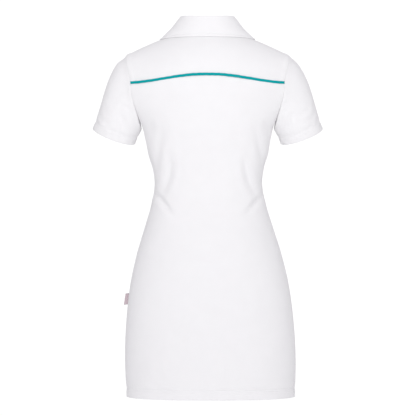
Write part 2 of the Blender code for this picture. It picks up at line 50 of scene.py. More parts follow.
# Back panel: one piece of smooth white double knit from the hem to the yoke seam, shaped by its
# side seams alone, so that it creases at the waist. The hem is turned up on the inside and held
# by two rows of stitches.
CLOTH = 0.0016  # thickness of the knit with its seam allowances
HEM_CLOTH = 0.0026  # thickness where the hem is turned up
HEM_DEPTH = 0.0235  # height of the turned-up part, and over which its edge fades
HEM_STEP = 0.003
HEM_ROWS = (0.0180, 0.0228)  # the two rows of stitches, above the fold of the hem
HEM_FLARE = 0.0010  # how far the fold of the hem stands out, and how far past its rows
HEM_FLARE_END = 0.004
HEM_DRAWN = 0.0011  # how far the upper row draws the cloth in, and half that stretch
HEM_DRAWN_HALF = 0.0045
STITCH_DENT = 0.0003  # depth of the furrow that a row of stitches makes, and its half width
DENT_HALF = 0.0009
HEM = -0.877
UNDERARM = -0.228
PLACKET_FOOT = -0.256
NECK = 0.075  # half width of the neckline at the shoulder seam
SHOULDER = 0.197  # half width at the shoulder tip
SLOPE = 0.430  # drop of the shoulder seam per metre outwards
SHOULDER_RISE = 0.0026  # how much the shoulder seam bows up between neckline and tip
TIP = -SLOPE * (SHOULDER - NECK)
LOOP = TIP - UNDERARM  # height of the armholes
ROLL = {1: 0.120, -1: 0.150}  # height over which the shoulder rounds off, back and front
NECK_DROP = {1: 0.004, -1: 0.085}  # depth of the neckline, back and front
ARMHOLE = {1: 0.054, -1: 0.056}  # depth of the armhole loop, back and front
FRONT_SCOOP = 0.007  # the front armhole is cut this much further in
PANEL_HALF = 0.16  # a panel's usual half width, beyond the placket's edge
ROUNDNESS = 2.3  # 2 is an ellipse, more is squarer
ARCH_RISE = 0.07  # height over which the round section opens to an arch at the armholes
SWAY = 0.011  # the skirt hangs this much to the right for each metre down
SWAY_TOP = -0.150
YOKE = -0.1037  # height of the yoke seam at the middle
YOKE_END = YOKE - 0.0175  # and at the armholes
YOKE_LEVEL = 0.012  # half width of its level stretch
YOKE_RUN = 0.174  # width over which it falls
PLACKET_HALF = 0.015
KNIT_WHITE = (0.876, 0.871, 0.876)

# Height, half width, depth in front and depth behind, in millimetres.
BODY = np.array((
    (-877, 203.5, 126, 131),
    (-782, 207, 126, 133),
    (-674, 201, 124, 133),
    (-601, 191.2, 120, 131),
    (-528, 174.2, 113, 126),
    (-470, 156.3, 106, 114),
    (-412, 139.2, 100, 99),
    (-361, 130.7, 99, 90),
    (-325, 135.5, 105, 89),
    (-296, 144, 112, 91),
    (-260, 151.5, 119, 95),
    (-228, 158.6, 121, 99),
    (-204, 167.1, 120, 101),
    (-148, 183, 108, 105),
    (-119, 185.7, 99, 106),
    (-68, 196.5, 87, 105),
    (-50, 197, 82, 104),
    (30, 197, 72, 100),
)) / 1000

# Creases in millimetres: x and z of three points that each runs through, then its half width,
# its depth and the rise of the cloth beside it.
BACK_CREASES = (
    (107, -233, 118, -282, 124, -331, 8.5, 3.4, 1),
    (-113, -229, -123, -277, -130, -315, 8.5, 3.2, 1),
    (89, -298, 95, -345, 113, -391, 8.5, 5, 1.4),
    (-88, -298, -93, -343, -114, -391, 8.5, 4.9, 1.4),
    (131, -386, 109, -408.5, 89.5, -435, 6.2, 6.6, 1),
    (-133, -389, -110, -412.5, -87, -437, 6.2, 6.4, 1),
    (91, -262, 98, -300, 100, -345, 8, 0.8, 0.4),
    (-97, -258, -104, -300, -108, -340, 8, 0.8, 0.4),
    (139, -205, 137, -222, 132, -240, 7, 1.2, 0.4),
    (-142, -207, -141, -224, -136, -243, 7, 1.1, 0.4),
    (60, -205, 66, -250, 64, -290, 11, 0.7, 0.2),
    (-66, -200, -72, -246, -70, -285, 11, 0.7, 0.2),
    (45, -546, 0, -553, -52, -545, 15, 1, 0.3),
    (62, -652, 18, -668, -30, -662, 17, 0.9, 0.3),
    (-22, -636, -55, -652, -80, -640, 13, 0.8, 0.3),
    (95, -700, 74, -735, 50, -752, 16, 0.8, 0.3),
    (-60, -712, -75, -742, -96, -758, 15, 0.8, 0.3),
    (-24, -760, -27, -800, -26, -842, 9, 0.7, 0.2),
    (118, -780, 128, -812, 132, -842, 12, 0.8, 0.3),
    (136, -848, 114, -851.5, 92, -849, 4.5, 1.1, 0.3),
    (-6, -849.5, -30, -852.5, -52, -849, 4.5, 0.9, 0.3),
    (-88, -848, -114, -852, -140, -848, 4.5, 1.1, 0.3),
)
CREASE_ENDS = 0.06  # how far into its fading a crease starts and stops
LIP_SPOT = 1.9  # distance of the raised cloth from a crease, in its half widths
SEAM_SOFT = 0.0040  # distance over which the cloth sinks towards a seam
SEAM_PULL = 0.0004  # and how far it sinks there
EDGE_ROLL = 0.9  # how round the edges are, 1 is a half circle
CALM = 0.03  # the cloth hangs evenly this near to a seam
FINE = np.array((0, 0.0003, 0.0008, 0.0015, 0.0026, 0.0042))  # distances of points beside an edge

# Slow unevenness of the hanging cloth: share, waves across, waves up and start of four swells.
SWELLS = ((1, 31, 9, 0.7), (1, 17, -23, 2.1), (0.7, 52, 38, 0), (0.5, -44, 71, 1.3))


def curve(t, start, end, leaving, arriving):
    """A smooth curve between two values or places, with its slopes at both."""
    return (start * (1 + 2 * t) * (1 - t) ** 2 + end * (3 - 2 * t) * t ** 2
            + leaving * t * (1 - t) ** 2 - arriving * t ** 2 * (1 - t))


def size_at(height, column):
    """A size of the body at a height, on smooth curves through the rows of the table."""
    keys, values = BODY[:, 0], BODY[:, column]
    slopes = np.gradient(values, keys)
    height = np.clip(height, keys[0], keys[-1])
    i = np.clip(np.searchsorted(keys, height) - 1, 0, len(keys) - 2)
    step = keys[i + 1] - keys[i]
    t = (height - keys[i]) / step
    return curve(t, values[i], values[i + 1], step * slopes[i], step * slopes[i + 1])


def unit(vectors):
    """The vectors at length one."""
    return vectors / np.maximum(np.linalg.norm(vectors, axis=-1, keepdims=True), 1e-12)


def ease(t):
    """Runs softly from 0 to 1."""
    t = np.clip(t, 0, 1)
    return t * t * (3 - 2 * t)


def ridge(away, at, half):
    """A soft ridge of height 1 where away comes to at, with half as its half width."""
    return np.exp(-((away - at) / half) ** 2)


def shoulder_line(x):
    """Height of the shoulder line, carried on smoothly over the neck opening."""
    x = np.abs(x)
    part = np.clip((x - NECK) / (SHOULDER - NECK), 0, 1)
    neck_slope = SLOPE - 4 * SHOULDER_RISE / (SHOULDER - NECK)
    inside = NECK * neck_slope / 2 * (1 - (x / NECK) ** 2)
    return np.where(x > NECK, -(x - NECK) * SLOPE + 4 * SHOULDER_RISE * part * (1 - part), inside)


def half_width(z, side):
    """Distance of the side seam or armhole seam from the middle."""
    rise = (z - UNDERARM) / LOOP
    scoop = FRONT_SCOOP * np.sin(pi * np.clip(rise, 0, 1)) if side < 0 else 0
    return size_at(z, 1) - scoop


def armhole_depth(z, side):
    """Half the depth of the armhole loop at a height, nothing below it."""
    rise = (z - (TIP + UNDERARM) / 2) / (LOOP / 2)
    return ARMHOLE[side] * np.sqrt(np.clip(1 - rise ** 2, 0, 1))


def depth(x, z, side):
    """Depth of the worn form behind the shoulder line (side 1) or in front of it (side -1)."""
    top = np.clip((shoulder_line(x) - z) / ROLL[side], 0, 1)
    middle = size_at(z, 3 if side > 0 else 2) * np.sqrt(1 - (1 - top) ** 2)
    rise = np.clip((z - UNDERARM) / (shoulder_line(x) - UNDERARM), 0, None)
    edge = armhole_depth(UNDERARM + LOOP * rise, side)
    across = np.clip(np.abs(x) / half_width(z, side), 0, 1)
    oval = (np.maximum(middle, 0) ** ROUNDNESS * (1 - across ** ROUNDNESS)
            + edge ** ROUNDNESS * across ** ROUNDNESS) ** (1 / ROUNDNESS)
    arc = middle - (middle - edge) * across ** 2
    return oval + (arc - oval) * ease((z - UNDERARM) / ARCH_RISE)


def yoke_seam(x):
    """Height of the yoke seam, level in the middle and falling to the armholes."""
    return YOKE + (YOKE_END - YOKE) * ease((np.abs(x) - YOKE_LEVEL) / YOKE_RUN)


def row_height(x, height, side):
    """Height of a panel's row at x: level up to the underarm, then fanned to the shoulder."""
    drop = NECK_DROP[side] * (1 - (x / NECK) ** 2)
    top = np.where(np.abs(x) >= NECK - 1e-6, np.minimum(shoulder_line(x), 0), -drop)
    fanned = UNDERARM + (top - UNDERARM) * (height - UNDERARM) / LOOP
    if side > 0:
        seam = yoke_seam(x)
        below = UNDERARM + (seam - UNDERARM) * (height - UNDERARM) / (YOKE_END - UNDERARM)
        above = seam + (top - seam) * (height - YOKE_END) / (TIP - YOKE_END)
        fanned = np.where(height <= YOKE_END, below, above)
    return np.where(height <= UNDERARM, height, fanned)


def pulled(x, z, creases):
    """How far a table of creases moves the cloth out, or below zero in."""
    move = np.zeros_like(x)
    t = np.linspace(0, 1, 41)
    for x1, z1, x2, z2, x3, z3, width, deep, lip in np.array(creases) / 1000:
        px = x1 * (1 - t) * (1 - 2 * t) + 4 * x2 * t * (1 - t) + x3 * t * (2 * t - 1)
        pz = z1 * (1 - t) * (1 - 2 * t) + 4 * z2 * t * (1 - t) + z3 * t * (2 * t - 1)
        reach = 4 * width
        near = ((x > px.min() - reach) & (x < px.max() + reach)
                & (z > pz.min() - reach) & (z < pz.max() + reach))
        away = np.hypot(x[near][:, None] - px, z[near][:, None] - pz)
        nearest = away.min(axis=1) / width
        run = np.sin(pi * (CREASE_ENDS + (1 - 2 * CREASE_ENDS) * t[away.argmin(axis=1)]))
        move[near] += run * (lip * np.exp(-(nearest - LIP_SPOT) ** 2) - deep * np.exp(-nearest ** 1.6))
    return move


def uneven(x, z, size=0.0005):
    """How far the unevenness of hanging cloth moves it out."""
    return size * sum(share * np.sin(a * x + b * z + start) for share, a, b, start in SWELLS)


def run_along(places):
    """How far along its line each place of a line, or of a grid's columns, lies."""
    steps = np.linalg.norm(np.diff(places, axis=0), axis=-1)
    return np.concatenate((np.zeros_like(steps[:1]), steps.cumsum(axis=0)))


def spaced(low, high, count, gaps, fine=FINE):
    """Places from low to high, fine beside both ends and even between, past a gap at each."""
    return np.concatenate((low + fine, np.linspace(low + gaps[0], high - gaps[1], count),
                           high - fine[::-1]))


def rolled(away, thickness):
    """How far the face of the cloth turns in beside an edge."""
    radius = thickness / 2
    near = 1 - np.clip(away / radius, 0, 1)
    return EDGE_ROLL * radius * (1 - np.sqrt(1 - near ** 2))


def facing(points, out, around=False):
    """Unit normals of a grid of points, on the side that out points to."""
    if around:
        points = np.concatenate((points[:, -2:-1], points, points[:, 1:2]), axis=1)
    normal = np.cross(np.gradient(points, axis=1), np.gradient(points, axis=0))
    normal = unit(normal[:, 1:-1] if around else normal)
    return normal * np.sign((normal * out).sum(axis=-1).mean())


def cloth(name, points, normal, thickness, material, edge=None, around=False, cut=None):
    """A wall of cloth on a grid of points, which are its outer face.

    edge holds each point's distances from the edges, where the cloth turns in. On a tube the
    last column lies on the first. cut is a pair of row and column ranges left open.
    """
    rows, cols = points.shape[:2]
    sink = rolled(np.minimum.reduce(edge), thickness) if edge else 0
    thickness = np.broadcast_to(thickness, (rows, cols))
    faces = (points - normal * (sink + 0 * thickness)[..., None],
             points - normal * (thickness - sink)[..., None])
    v, u = run_along(points), run_along(points.swapaxes(0, 1)).T
    u = u - u[:, cols // 2][:, None]
    bm = bmesh.new()
    uv = bm.loops.layers.uv.new("cut")
    for layer in (0, 1):
        bmesh.ops.create_grid(bm, x_segments=cols - 1, y_segments=rows - 1, size=1,
                              matrix=Matrix.Translation((0, 0, layer)), calc_uvs=True)
    spot = bm.verts.layers.float_vector.new("spot")
    for vert in bm.verts:
        vert[spot] = (round((vert.co.x + 1) / 2 * (cols - 1)),
                      round((vert.co.y + 1) / 2 * (rows - 1)), vert.co.z)
    for face in bm.faces:
        for loop in face.loops:
            c, r = (int(n) for n in loop.vert[spot][:2])
            loop[uv].uv = (u[r, c], v[r, c])
    if cut:
        gone = [face for face in bm.faces
                if all(cut[0][0] <= loop.vert[spot].y <= cut[0][1] for loop in face.loops)
                and all(cut[1][0] <= loop.vert[spot].x <= cut[1][1] for loop in face.loops)]
        bmesh.ops.delete(bm, geom=gone, context="FACES")
    if around:
        for end in (0, rows - 1):
            rim = [edge for edge in bm.edges if all(vert[spot].y == end for vert in edge.verts)]
            bmesh.ops.bridge_loops(bm, edges=rim)
        for vert in bm.verts:
            c, r, layer = vert[spot]
            turn, reach = 2 * pi * c / (cols - 1), 1 + layer
            vert.co = (reach * cos(turn), reach * sin(turn), r)
        bmesh.ops.remove_doubles(bm, verts=bm.verts, dist=1e-5)
    else:
        bmesh.ops.bridge_loops(bm, edges=[edge for edge in bm.edges if edge.is_boundary])
    for vert in bm.verts:
        c, r, layer = (int(n) for n in vert[spot])
        vert.co = faces[layer][r, c]
    bmesh.ops.recalc_face_normals(bm, faces=bm.faces)
    if bm.calc_volume(signed=True) < 0:
        bmesh.ops.reverse_faces(bm, faces=bm.faces)
    return finished(name, meshed(name, bm), material)


def placed(name, data):
    """Puts a mesh, a lamp or the camera in the scene."""
    thing = bpy.data.objects.new(name, data)
    bpy.context.scene.collection.objects.link(thing)
    return thing


def meshed(name, bm):
    """Turns a bmesh into a mesh."""
    mesh = bpy.data.meshes.new(name)
    bm.to_mesh(mesh)
    bm.free()
    return mesh


def finished(name, mesh, material):
    """Makes a mesh a piece of the dress, smoothly shaded."""
    mesh.shade_smooth()
    mesh.materials.append(material)
    piece = placed(name, mesh)
    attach(piece, "root")
    return piece


class Value:
    """A shader socket; sums, products and powers of it add Math nodes."""

    def __init__(self, socket):
        self.socket = socket

    def node(self, kind, settings=None, inputs=None, out=0):
        """Adds a node to the same tree: its settings first, then values or links to its sockets."""
        tree = self.socket.id_data
        made = tree.nodes.new(kind)
        for key, value in (settings or {}).items():
            setattr(made, key, value)
        for key, value in (inputs or {}).items():
            if isinstance(value, Value):
                tree.links.new(value.socket, made.inputs[key])
            else:
                made.inputs[key].default_value = value
        return Value(made.outputs[out])

    def math(self, operation, *others):
        """A Math node on this value and others."""
        return self.node("ShaderNodeMath", {"operation": operation}, dict(enumerate((self, *others))))

    def noise(self, scale, detail=2.0):
        """Noise over these places."""
        return self.node("ShaderNodeTexNoise", None, {"Vector": self, "Scale": scale, "Detail": detail})

    def part(self, axis):
        """One of the three numbers of these places."""
        return self.node("ShaderNodeSeparateXYZ", None, {0: self}, axis)

    def bump(self, strength, distance):
        """Normals that stand up where this value is high."""
        return self.node("ShaderNodeBump", None,
                         {"Strength": strength, "Distance": distance, "Height": self})

    def between(self, first, second):
        """Runs from one colour to another as this value goes from 0 to 1."""
        return self.node("ShaderNodeMix", {"data_type": "RGBA"},
                         {0: self, 6: (*first, 1), 7: (*second, 1)}, 2)

    def shading(self, colour):
        """A colour, darker where this value is low."""
        return self.node("ShaderNodeMix", {"data_type": "RGBA", "blend_type": "MULTIPLY"},
                         {0: 1.0, 6: (*colour, 1), 7: self}, 2)

    def feed(self, shader, name):
        """Links this value to a socket of a shader."""
        self.socket.id_data.links.new(self.socket, shader.inputs[name])

    def __add__(self, other):
        return self.math("ADD", other)

    def __mul__(self, other):
        return self.math("MULTIPLY", other)

    def __sub__(self, other):
        return self.math("SUBTRACT", other)

    def __rsub__(self, other):
        return self.math("MULTIPLY", -1.0).math("ADD", other)

    def __pow__(self, other):
        return self.math("POWER", other)

    __radd__ = __add__
    __rmul__ = __mul__


def finish(name, colour, roughness, sheen=0.0, shine=0.3):
    """A new material and its shader, with places on the piece and in the flat cloth as values."""
    material = bpy.data.materials.new(name)
    material.use_nodes = True
    shader = material.node_tree.nodes["Principled BSDF"]
    shader.inputs["Base Color"].default_value = (*colour, 1)
    shader.inputs["Roughness"].default_value = roughness
    shader.inputs["Specular IOR Level"].default_value = shine
    shader.inputs["Sheen Weight"].default_value = sheen
    shader.inputs["Sheen Roughness"].default_value = 0.6
    places = material.node_tree.nodes.new("ShaderNodeTexCoord")
    return material, shader, Value(places.outputs["Object"]), Value(places.outputs["UV"])


def knit(name, colour, wale=0.0011, course=0.0008, relief=0.00010, sheen=0.05, shine=0.3):
    """Fine knit: columns of small loops, each two slanted legs, and slightly uneven yarn."""
    material, shader, place, cut = finish(name, colour, 0.92, sheen, shine)
    column = (cut.part(0) * (1 / wale)).math("PINGPONG", 0.5) * 2
    leg = ((cut.part(1) * (1 / course) + column * 0.55) * (2 * pi)).math("SINE")
    groove = (1 - column) ** 3
    drift, yarn = place.noise(38.0, 3.0), place.noise(900.0)
    height = leg * 0.35 + column * 0.6 - groove * 0.5 + yarn * 0.8
    height.bump(0.55, relief).feed(shader, "Normal")
    shade = drift * 0.030 + yarn * 0.03 + leg * 0.006 + 0.965
    shade.shading(colour).feed(shader, "Base Color")
    return material


def panel(side, heights):
    """Points of a body panel on the worn form, with their places and normals on it."""
    corner = (NECK - PLACKET_HALF) / (SHOULDER - PLACKET_HALF)
    fine = 1 - np.array((0.0065, 0.0042, 0.0026, 0.0016, 0.0009, 0.0004, 0)) / PANEL_HALF
    split = np.concatenate((np.linspace(0, corner, 16)[:-1], np.linspace(corner, 0.955, 30), fine))
    reach = half_width(heights, side)[:, None]
    outer = PLACKET_HALF + (reach - PLACKET_HALF) * split
    centre = np.linspace(-PLACKET_HALF, PLACKET_HALF, 7)[1:-1] + 0 * reach
    x = np.concatenate((-outer[:, ::-1], centre, outer), axis=1)
    z = row_height(x, heights[:, None], side)
    points = np.stack((x, side * depth(x, z, side), z), axis=-1)
    return x, z, reach - np.abs(x), points, facing(points, (0, side, 0))


def hung(points):
    """Lets points below the yoke swing a little to the right."""
    sway = SWAY * np.maximum(SWAY_TOP - points[..., 2], 0)
    return points - sway[..., None] * np.array((1, 0, 0))


def seamed(away):
    """How far the cloth sinks near a seam."""
    return SEAM_PULL * ridge(away, 0, SEAM_SOFT)


def hemmed(up, rows=HEM_ROWS):
    """Relief of a turned-up hem: it stands out a little and its stitches draw the cloth in."""
    flare = HEM_FLARE * np.clip(1 - up / (rows[1] + HEM_FLARE_END), 0, 1)
    drawn = HEM_DRAWN * ridge(up, rows[1] - 0.001, HEM_DRAWN_HALF)
    return flare - drawn - STITCH_DENT * sum(ridge(up, row, DENT_HALF) for row in rows)


def hem_wall(up, turned_up=HEM_DEPTH):
    """Thickness of the cloth, which is more where the hem is turned up."""
    return CLOTH + (HEM_CLOTH - CLOTH) * (1 - ease((up - turned_up) / HEM_STEP))


def outer_face(points, normal, relief):
    """Points of the form moved out by the relief of the cloth."""
    return points + normal * relief[..., None]


hem_heights = HEM + np.concatenate(((0, 0.0003, 0.0008, 0.0014), np.arange(0.0022, 0.0272, 0.0010)))
skirt_heights = np.linspace(hem_heights[-1] + 0.003, PLACKET_FOOT, 136)
bust_heights = np.linspace(PLACKET_FOOT, UNDERARM, 8)
blade_heights = np.linspace(UNDERARM, YOKE_END - 0.006, 26)
heights = np.concatenate((hem_heights, skirt_heights, bust_heights[1:], blade_heights[1:],
                          YOKE_END - FINE[::-1]))
x, z, away, points, normal = panel(1, heights)
back_up = up = (heights - HEM)[:, None] + 0 * x
top = yoke_seam(x) - z
relief = (pulled(x, z, BACK_CREASES) + uneven(x, z) * ease(away / CALM)
          + hemmed(up) - seamed(away) - seamed(top))
back_points, back_normal = hung(outer_face(points, normal, relief)), normal
knit_white = knit("Knit_white", KNIT_WHITE)
back_panel = cloth("back_panel_cloth", back_points, normal, hem_wall(up), knit_white,
                   edge=(away, up, top))
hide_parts("back_panel")

# Back yoke: a level band of the same knit over the shoulder blades, between the neckline and
# the piped seam. The seam allowance of the armholes lies under its ends and shows as a ridge.
ALLOWANCE = 0.0088  # width of that ridge
ALLOWANCE_RISE = 0.0013
ALLOWANCE_SOFT = (0.0015, 0.002)  # over which it rises from the seam and falls again
YOKE_UNEVEN = 0.0003  # how uneven the stretched yoke is
YOKE_CREASES = (
    (150, -71, 172, -78, 186, -88, 6, 0.6, 0.2),
    (-152, -70, -173, -77, -186, -87, 6, 0.6, 0.2),
    (35, -92, 0, -93.5, -40, -92, 7, 0.5, 0.1),
)


def piled(away):
    """Ridge of the seam allowance under the cloth beside an armhole."""
    fallen = ease((away - ALLOWANCE) / ALLOWANCE_SOFT[1])
    return ALLOWANCE_RISE * ease(away / ALLOWANCE_SOFT[0]) * (1 - fallen)


heights = spaced(YOKE_END, TIP, 14, (0.007, 0.006))
x, z, away, points, normal = panel(1, heights)
low = (heights - heights[0])[:, None] * (z[-1:] - z[:1]) / (heights[-1] - heights[0])
high = z[-1:] - z
relief = (pulled(x, z, YOKE_CREASES) + uneven(x, z, YOKE_UNEVEN) * ease(away / CALM) * ease(high / CALM)
          + piled(away) - seamed(away) - seamed(low) - seamed(high))
back_yoke = cloth("back_yoke_cloth", outer_face(points, normal, relief), normal, CLOTH, knit_white,
                  edge=(away, low, high))
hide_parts("back_yoke")

# Yoke piping: a narrow folded strip of teal knit caught in the yoke seam from armhole to
# armhole, standing proud of the cloth on both sides.
TEAL = (0.0, 0.345, 0.370)
PIPING_WIDTH = 0.0062
PIPING_CREST = 0.0021  # height over the form, at its crest and where it enters the seam
PIPING_FOOT = 0.0006
PIPING_END = 0.0015  # distance of its ends from the armhole seams


def on_form(x, z, side, out=0.0):
    """Points of the worn form at x and z, moved out along its normal, and those normals."""
    x, z = np.broadcast_arrays(np.asarray(x, float), np.asarray(z, float))
    step = 0.0005
    slope_x = (depth(x + step, z, side) - depth(x - step, z, side)) / (2 * step)
    slope_z = (depth(x, z + step, side) - depth(x, z - step, side)) / (2 * step)
    normal = unit(np.stack((-slope_x, np.full_like(x, side), -slope_z), axis=-1))
    points = np.stack((x, side * depth(x, z, side), z), axis=-1)
    return points + normal * (np.asarray(out) + 0 * x)[..., None], normal


reach = half_width(YOKE_END, 1) - PIPING_END
along = np.linspace(-reach, reach, 260)
round_it = np.linspace(0, pi, 13)
across, turn = np.meshgrid(along, round_it)
wobble = 0.00012 * np.sin(across * 410) + 0.0001 * np.sin(across * 173 + 1)
lift = PIPING_FOOT + (PIPING_CREST - PIPING_FOOT) * np.sin(turn) ** 0.6
points, normal = on_form(across, yoke_seam(across) - PIPING_WIDTH / 2 * np.cos(turn) + wobble, 1, lift)
normal = on_form(across, yoke_seam(across), 1)[1]
knit_teal = knit("Knit_teal", TEAL, wale=0.0009, course=0.0007, relief=0.00006, sheen=0.0, shine=0.1)
yoke_piping = cloth("yoke_piping_strip", points, normal, lift - 0.0004, knit_teal)
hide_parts("yoke_piping")

# Front panel: the same knit in one piece from the hem to the shoulders, slit from the neckline
# to below the bust for the placket.
PILED_FROM = UNDERARM + 0.05  # height above which the armhole's allowance shows as a ridge
FRONT_CREASES = (
    (112, -250, 105, -300, 98, -345, 6.5, 3, 1),
    (-114, -246, -106, -294, -96, -338, 6.5, 2.8, 1),
    (122, -392, 98, -410, 72, -420, 6, 3, 1.2),
    (-124, -388, -100, -408, -70, -424, 6, 3.1, 1.2),
    (137, -215, 120, -225, 100, -222, 8, 1.6, 0.6),
    (-139, -212, -121, -224, -98, -224, 8, 1.7, 0.6),
    (125, -330, 112, -352, 90, -372, 6, 1.8, 0.7),
    (-124, -335, -108, -358, -86, -374, 6, 1.6, 0.7),
    (155, -120, 146, -150, 132, -176, 9, 1.4, 0.4),
    (-156, -118, -147, -152, -134, -180, 9, 1.3, 0.4),
    (40, -440, 4, -452, -44, -441, 14, 0.9, 0.3),
    (150, -560, 120, -590, 85, -604, 15, 1.1, 0.4),
    (-148, -566, -118, -592, -80, -602, 15, 1, 0.4),
    (52, -655, 6, -668, -46, -658, 17, 0.9, 0.3),
    (70, -730, 78, -785, 76, -840, 13, 0.9, 0.3),
    (-82, -742, -90, -790, -87, -842, 13, 0.9, 0.3),
    (128, -848.5, 105, -852, 83, -849, 4.5, 1, 0.3),
    (22, -849, -4, -852.5, -30, -849, 4.5, 1, 0.3),
    (-92, -848.5, -116, -852, -138, -849, 4.5, 1, 0.3),
)


def front_uneven(x, z, below_shoulder):
    """Unevenness of the front panel, which fades at the placket and the shoulder seams."""
    return (uneven(x + 0.3, z) * ease((np.abs(x) - PLACKET_HALF) / CALM)
            * ease(below_shoulder / CALM))


chest_heights = np.linspace(UNDERARM, TIP - 0.007, 46)
heights = np.concatenate((hem_heights, skirt_heights, bust_heights[1:], chest_heights[1:],
                          TIP - FINE[::-1]))
x, z, away, points, normal = panel(-1, heights)
front_up = up = (heights - HEM)[:, None] + 0 * x
top = z[-1:] - z
slit = np.where((heights >= PLACKET_FOOT - 1e-9)[:, None], np.abs(np.abs(x) - PLACKET_HALF), 1)
foot = np.where(np.abs(x) < PLACKET_HALF + 1e-6, np.abs(z - PLACKET_FOOT), 1)
relief = (pulled(x, z, FRONT_CREASES) + front_uneven(x, z, top) * ease(away / CALM) + hemmed(up)
          + piled(away) * ease((z - PILED_FROM) / 0.04) - seamed(away) - seamed(top))
front_points, front_normal = hung(outer_face(points, normal, relief)), normal
slit_row = int(np.argmin(np.abs(heights - PLACKET_FOOT)))
middle = x.shape[1] // 2
front_panel = cloth("front_panel_cloth", front_points, normal, hem_wall(up), knit_white,
                    edge=(away, up, top, slit, foot),
                    cut=((slit_row, len(heights)), (middle - 3, middle + 3)))
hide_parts("front_panel")

# Placket: two bands of the knit, the lower one set behind the slit and the upper one filling it,
# edge-stitched along both sides and boxed at the foot. Buttoned right over left.
BAND_LIFT = 0.0006  # the upper band stands this much over the panel
PLACKET_TOP = -0.0854
BAND_STITCH = 0.0022  # distance of its stitches from its edges
BAND_DENT = 0.0002  # depth of the furrow that they make
BAND_PLAY = 0.0002  # gap between the upper band and the sides of the slit
UNDER_MORE = 0.003  # how far the lower band reaches past the slit's sides, and its top lies lower
UNDER_GAP = 0.0008  # room between the lower band and the wall of the panel


def on_placket(x, z, lift):
    """Places over the middle of the front, moved out by lift, and the normals there."""
    places, normal = on_form(x, z, -1, lift + uneven(x + 0.1, z, 0.0001))
    return hung(places), normal


def band(name, node, half, bottom, top, face, thick):
    """A flat band on the middle of the front, with rounded edges."""
    across, up = np.meshgrid(spaced(-half, half, 11, (0.0026, 0.0026), FINE[:4]),
                             spaced(bottom, top, 56, (0.003, 0.003), FINE[:4]))
    edge = np.minimum.reduce((half - np.abs(across), up - bottom, top - up))
    up = up + NECK_DROP[-1] * (across / NECK) ** 2 * ((up - bottom) / (top - bottom)) ** 9
    press = BAND_DENT * ridge(edge, BAND_STITCH, 0.0008)
    points, normal = on_placket(across, up, face - press)
    piece = cloth(name, points, normal, thick, knit_white, edge=(edge,))
    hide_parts(node)
    return piece


placket_under = band("placket_under_cloth", "placket_under", PLACKET_HALF + UNDER_MORE,
                     PLACKET_FOOT - 2 * UNDER_MORE, PLACKET_TOP - UNDER_MORE, -CLOTH - UNDER_GAP, CLOTH)
placket_over = band("placket_over_cloth", "placket_over", PLACKET_HALF - BAND_PLAY,
                    PLACKET_FOOT + BAND_PLAY, PLACKET_TOP, BAND_LIFT, CLOTH + BAND_LIFT)

# Sleeves: short set-in sleeves of the knit, the cap eased into the armhole and the hem turned up
# and stitched like the skirt's. They fall over the upper arm with slack creases near the hem.
CUFF_OUT = (0.2780, -0.2290)  # outermost point of the hem, x and z
CUFF_IN = (0.1780, -0.2665)  # innermost point
CUFF_Y = -0.016  # the arms hang a little forward
CUFF_DEPTH = 0.049  # half depth, front to back
CUFF_TILT = radians(14)
CAP_OUT = 1.05  # how the cap leaves the armhole, sideways and down the arm
CAP_DOWN = 0.45
CAP_SOFTENED = 30  # how often the way it leaves is evened round the armhole
CAP_PULL = 0.85  # how strongly the curves are pulled at cap, underarm and hem
UNDERARM_PULL = 0.75
CUFF_PULL = 1.15
SLEEVE_BAND = 0.0195  # depth of the sleeve's hem
SLEEVE_ROWS = (0.0135, 0.0185)  # its two rows of stitches
SLEEVE_RADIUS = 0.052  # mean, by which turns round the sleeve become distances
CAP_SINK = {1: 0.0032, -1: 0.0016}  # how far the cap settles beside its seam, left and right
CAP_SINK_PLACE = (0.012, 0.014)  # distance of that dip from the seam, and its half width
GATHER = 0.0007  # height of the small gathers where the cap is eased in
GATHER_WAVE = 0.0014  # their wave length along the seam, over 2 pi
GATHER_REACH = 0.010  # distance from the seam over which they die away
SIDE_SINK = 0.0008  # how far the sleeve sinks at its seam below the cap
ARMPIT_SINK = 0.0014  # and how much further under the arm

# Creases as before, but by the distance round the sleeve from its upper edge, above zero
# towards the back, and the distance up from its hem.
SLEEVE_CREASES = {
    1: (
        (16, 44, 46, 31, 78, 36, 5.5, 1.7, 0.6),
        (30, 60, 52, 47, 70, 50, 6, 0.9, 0.4),
        (52, 28, 72, 21, 90, 26, 4, 1.4, 0.5),
        (80, 60, 95, 48, 106, 30, 6, 1.3, 0.5),
        (16, 88, 40, 78, 68, 82, 8, 0.5, 0.2),
        (6, 26, 20, 21, 36, 24, 3.5, 1.2, 0.4),
        (76, 106, 90, 116, 106, 113, 3.2, 0.9, 0.3),
        (84, 90, 97, 99, 112, 95, 3.2, 0.9, 0.3),
        (70, 76, 86, 83, 104, 79, 3.6, 0.8, 0.3),
        (-30, 50, -60, 38, -88, 46, 6.5, 1.1, 0.4),
        (-20, 30, -48, 22, -70, 27, 4.5, 0.8, 0.3),
    ),
    -1: (
        (18, 52, 48, 36, 84, 42, 5.5, 2, 0.7),
        (34, 70, 58, 54, 80, 58, 6, 1.5, 0.5),
        (40, 30, 62, 21, 86, 26, 4.2, 1.8, 0.6),
        (10, 36, 26, 26, 44, 28, 4.5, 1.5, 0.5),
        (80, 104, 92, 113, 106, 110, 3.2, 0.9, 0.3),
        (82, 88, 96, 96, 112, 92, 3.2, 1, 0.3),
        (80, 66, 98, 52, 108, 32, 6, 1.5, 0.6),
        (14, 94, 40, 82, 70, 88, 8, 0.6, 0.3),
        (-26, 58, -60, 40, -90, 50, 6.5, 1.2, 0.4),
        (-16, 30, -42, 21, -66, 26, 4.5, 0.9, 0.3),
    ),
}


